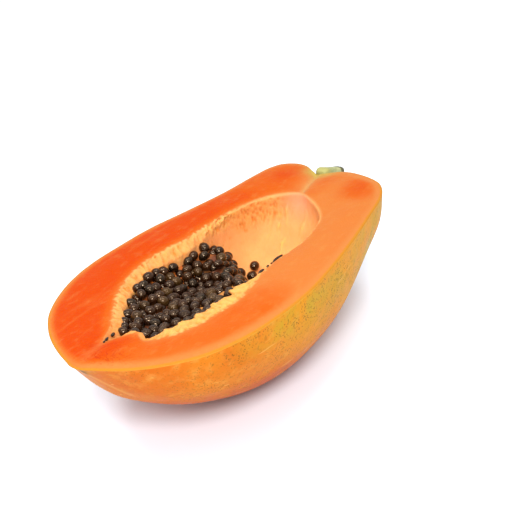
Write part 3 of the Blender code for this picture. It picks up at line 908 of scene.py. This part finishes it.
def seed_shape(ball, number, half, wrinkle):
    """An ovoid with a blunt and a pointed end, drawn in by folds of its dried film."""
    x = ball[:, 0]
    shape = ball * np.array(half) * SEED_PLUMP
    shape[:, 1:] *= (1 - 0.10 * x - 0.06 * x * x)[:, None]
    at = ball * (1.3, 2.6, 2.6)
    crease = np.abs(fuzz(at, 1.0, 3.1 + number))
    shape *= (1 - wrinkle * np.clip(0.45 - crease, 0, 1) * 0.45)[:, None]
    return shape


def seed_wrinkle(middle):
    """How wrinkled a seed there is: most on the near side."""
    return 0.12 + 0.32 * float(step(6, -20, middle[1])) * float(step(118, 80, middle[0]))


def make_bunch(finish):
    verts, faces, tints, wrinkles = [], [], [], []
    top = seed_places()
    ball, ball_faces = seed_ball(3)
    draw = random.Random(LOOK_RANDOM)
    for number, (middle, turn, half) in enumerate(top + low_places(top)):
        wrinkle = seed_wrinkle(middle) * draw.uniform(0.5, 1.3)
        shape = seed_shape(ball, number, half, wrinkle)
        turned = shape @ np.array(Euler(turn).to_matrix()).T
        start = number * len(ball)
        verts.append(turned + middle)
        faces += [tuple(start + i for i in f) for f in ball_faces]
        tints.append(np.full(len(ball), draw.random()))
        wrinkles.append(np.full(len(ball), min(1.6 * wrinkle, 1)))
    bunch = add_mesh("seeds_in_bunch", design(np.vstack(verts)), faces, [finish])
    set_values(bunch, "tint", np.concatenate(tints))
    set_values(bunch, "wrinkle", np.concatenate(wrinkles))
    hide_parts("seed_bunch")
    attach(bunch, "root")


def make_core():
    """The tissue seen between the seeds."""
    tilt = math.pi * ((np.arange(CORE_RINGS) + 0.7) / (CORE_RINGS + 0.4) - 0.5)
    turn = 2 * math.pi * np.arange(CORE_SIDES) / CORE_SIDES
    tilt, turn = np.meshgrid(tilt, turn, indexing="ij")
    directions = np.stack([1.8 * np.cos(turn) * np.cos(tilt), np.sin(turn) * np.cos(tilt),
                           0.7 * np.sin(tilt)], axis=2)
    directions /= np.linalg.norm(directions, axis=2)[..., None]

    def level(p):
        """The tissue stands up between the seeds on the near side."""
        return core_level(p, 2.2 - 1.6 * step(-8, -20, p[..., 1]) * step(120, 95, p[..., 0]))

    points = cast(level, CORE_CENTRE, directions)
    flat = points.reshape(-1, 3)
    away = flat - CORE_CENTRE
    away /= np.linalg.norm(away, axis=1)[:, None]
    rough = 0.5 * fuzz(flat, 3.0, 21, 3)
    flat = flat + away * np.minimum(rough, 0.1)[:, None]
    verts = np.vstack([flat, flat[:CORE_SIDES].mean(axis=0), flat[-CORE_SIDES:].mean(axis=0)])
    faces = grid_faces(CORE_RINGS, CORE_SIDES) + pole_faces(CORE_RINGS, CORE_SIDES)
    core = add_mesh("seed_tissue", design(verts), faces, [core_material()])
    x, y = verts.T[:2]
    bright = step(13, 22, y) * step(70, 84, x) + 0.6 * step(60, 40, x) + 0.7 * fuzz(verts, 9, 22)
    set_values(core, "bright", np.clip(bright, 0, 1))
    straw = step(-8, -17, y) * step(122, 100, x) + 0.5 * step(48, 36, x) + 0.5 * fuzz(verts, 5, 23)
    set_values(core, "straw", np.clip(straw, 0, 1))
    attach(core, "root")


def make_loose_seeds(finish):
    ball, faces = seed_ball(4)
    for number, (middle, turn, half) in enumerate(LOOSE_SEEDS, 1):
        folds, tint, wrinkle = (0.15, 0.3, 0.3) if number <= WHOLE_LOOSE else (0.5, 0.1, 1.0)
        shape = seed_shape(ball, LOOSE_FOLDS + number, half, folds)
        turned = shape @ np.array(Euler([math.radians(t) for t in turn]).to_matrix()).T
        seed = add_mesh(f"seed_{number}", design(turned + middle), faces, [finish])
        set_values(seed, "tint", np.full(len(ball), tint))
        set_values(seed, "wrinkle", np.full(len(ball), wrinkle))
        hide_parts(f"loose_seed_{number}")
        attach(seed, "root")


def make_flakes(finish):
    ball, ball_faces = seed_ball(3)
    verts, faces = [], []
    for number, (middle, turn, half) in enumerate(FLAKES):
        shape = seed_shape(ball, FLAKE_FOLDS + number, half, 0.5)
        turned = shape @ np.array(Euler([math.radians(t) for t in turn]).to_matrix()).T
        verts.append(turned + middle)
        faces += [tuple(number * len(ball) + i for i in f) for f in ball_faces]
    flakes = add_mesh("seed_flakes", design(np.vstack(verts)), faces, [finish])
    for name in ("tint", "wrinkle"):
        set_values(flakes, name, np.full(len(ball) * len(FLAKES), 0.1))
    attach(flakes, "root")


# The stalk

def make_stalk():
    path = np.array(STALK_PATH)
    run = np.concatenate([[0], np.cumsum(np.linalg.norm(np.diff(path, axis=0), axis=1))])
    at = np.linspace(0, run[-1], STALK_STEPS)
    middles = np.column_stack([smooth_value(np.column_stack([run, path[:, k]]), at) for k in range(3)])
    radii = smooth_value(np.column_stack([run, STALK_RADII]), at)
    ahead = np.gradient(middles, axis=0)
    ahead /= np.linalg.norm(ahead, axis=1)[:, None]
    side = np.cross(ahead, (0, 0, 1))
    side /= np.linalg.norm(side, axis=1)[:, None]
    up = np.cross(side, ahead)
    turns = 2 * math.pi * np.arange(STALK_SIDES) / STALK_SIDES
    cosine, sine = np.cos(turns)[:, None], np.sin(turns)[:, None]
    section = (np.abs(cosine) ** STALK_SQUARE + np.abs(sine) ** STALK_SQUARE) ** (-1 / STALK_SQUARE)
    section *= 0.94 * (1 - 0.02 * (0.5 + 0.5 * np.cos(STALK_RIBS * turns)))[:, None]
    rows = [middles[i] + (cosine * side[i] + sine * up[i]) * section * radii[i] for i in range(STALK_STEPS)]
    # The cut end is ragged and a little sunk.
    last = rows[-1]
    for share in END_SHARES:
        ring = middles[-1] + (last - middles[-1]) * share
        ragged = 0.9 * fuzz(ring, 1.6, 31, 2) - 0.7
        rows.append(ring + ahead[-1] * np.minimum(ragged, 0)[:, None])
    flat = np.vstack(rows)
    verts = np.vstack([flat, rows[0].mean(axis=0), rows[-1].mean(axis=0)])
    faces = grid_faces(len(rows), STALK_SIDES) + pole_faces(len(rows), STALK_SIDES)
    stalk = add_mesh("stalk_stub", design(verts), faces, [stalk_material()])
    place = np.repeat(np.concatenate([at, np.full(len(END_SHARES), run[-1] + 1)]), STALK_SIDES)
    worn = 0.5 * fuzz(flat, 1.5, 33, 2)
    dark = step(run[-1] - 4.4, run[-1] - 2.6, place + worn)
    set_values(stalk, "end", np.append(dark, [0, 1]))
    set_values(stalk, "base", np.append(step(7, 2, place), [1, 0]))
    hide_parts("stem_stub")
    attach(stalk, "root")


# Floor, light and camera

def make_floor():
    half = FLOOR_HALF
    finish = Nodes("floor_white").set(colour=FLOOR_COLOUR, roughness=0.6, gloss=0.1)
    floor = add_mesh("floor", [(-half, -half, 0), (half, -half, 0), (half, half, 0), (-half, half, 0)],
                     [(0, 1, 2, 3)], [finish], smooth=False)


def add_light(name, at, size, power):
    lamp = bpy.data.lights.new(name, "AREA")
    lamp.shape = "DISK"
    lamp.size = size
    lamp.energy = power
    made = bpy.data.objects.new(name, lamp)
    made.location = at
    made.rotation_euler = (Vector((0, 0, 0.05)) - Vector(at)).to_track_quat("-Z", "Y").to_euler()
    bpy.context.collection.objects.link(made)


def make_camera():
    turn, rise, roll = (math.radians(v) for v in (CAMERA_TURN, CAMERA_RISE, CAMERA_ROLL))
    back = Vector((math.sin(turn) * math.cos(rise), -math.cos(turn) * math.cos(rise), math.sin(rise)))
    right = Vector((0, 0, 1)).cross(back).normalized()
    up = back.cross(right)
    tilted_right = math.cos(roll) * right + math.sin(roll) * up
    tilted_up = -math.sin(roll) * right + math.cos(roll) * up
    data = bpy.data.cameras.new("camera")
    data.lens = CAMERA_LENS
    data.clip_start, data.clip_end = 0.05, 20
    camera = bpy.data.objects.new("camera", data)
    turned = Matrix((tilted_right, tilted_up, back)).transposed()
    camera.matrix_world = Matrix.Translation(Vector(LOOK_AT) + CAMERA_AWAY * back) @ turned.to_4x4()
    bpy.context.collection.objects.link(camera)
    bpy.context.scene.camera = camera


def make_studio():
    world = bpy.data.worlds.new("studio")
    world.use_nodes = True
    background = world.node_tree.nodes["Background"]
    background.inputs["Color"].default_value = (1.0, 1.0, 1.0, 1.0)
    background.inputs["Strength"].default_value = WORLD_LIGHT
    bpy.context.scene.world = world
    bpy.context.scene.view_settings.view_transform = "Standard"
    for lamp in LAMPS:
        add_light(*lamp)


make_camera()
make_studio()
make_floor()
make_fruit()
seed_finish = seed_material()
make_bunch(seed_finish)
make_core()
make_loose_seeds(seed_finish)
make_flakes(seed_finish)
make_stalk()
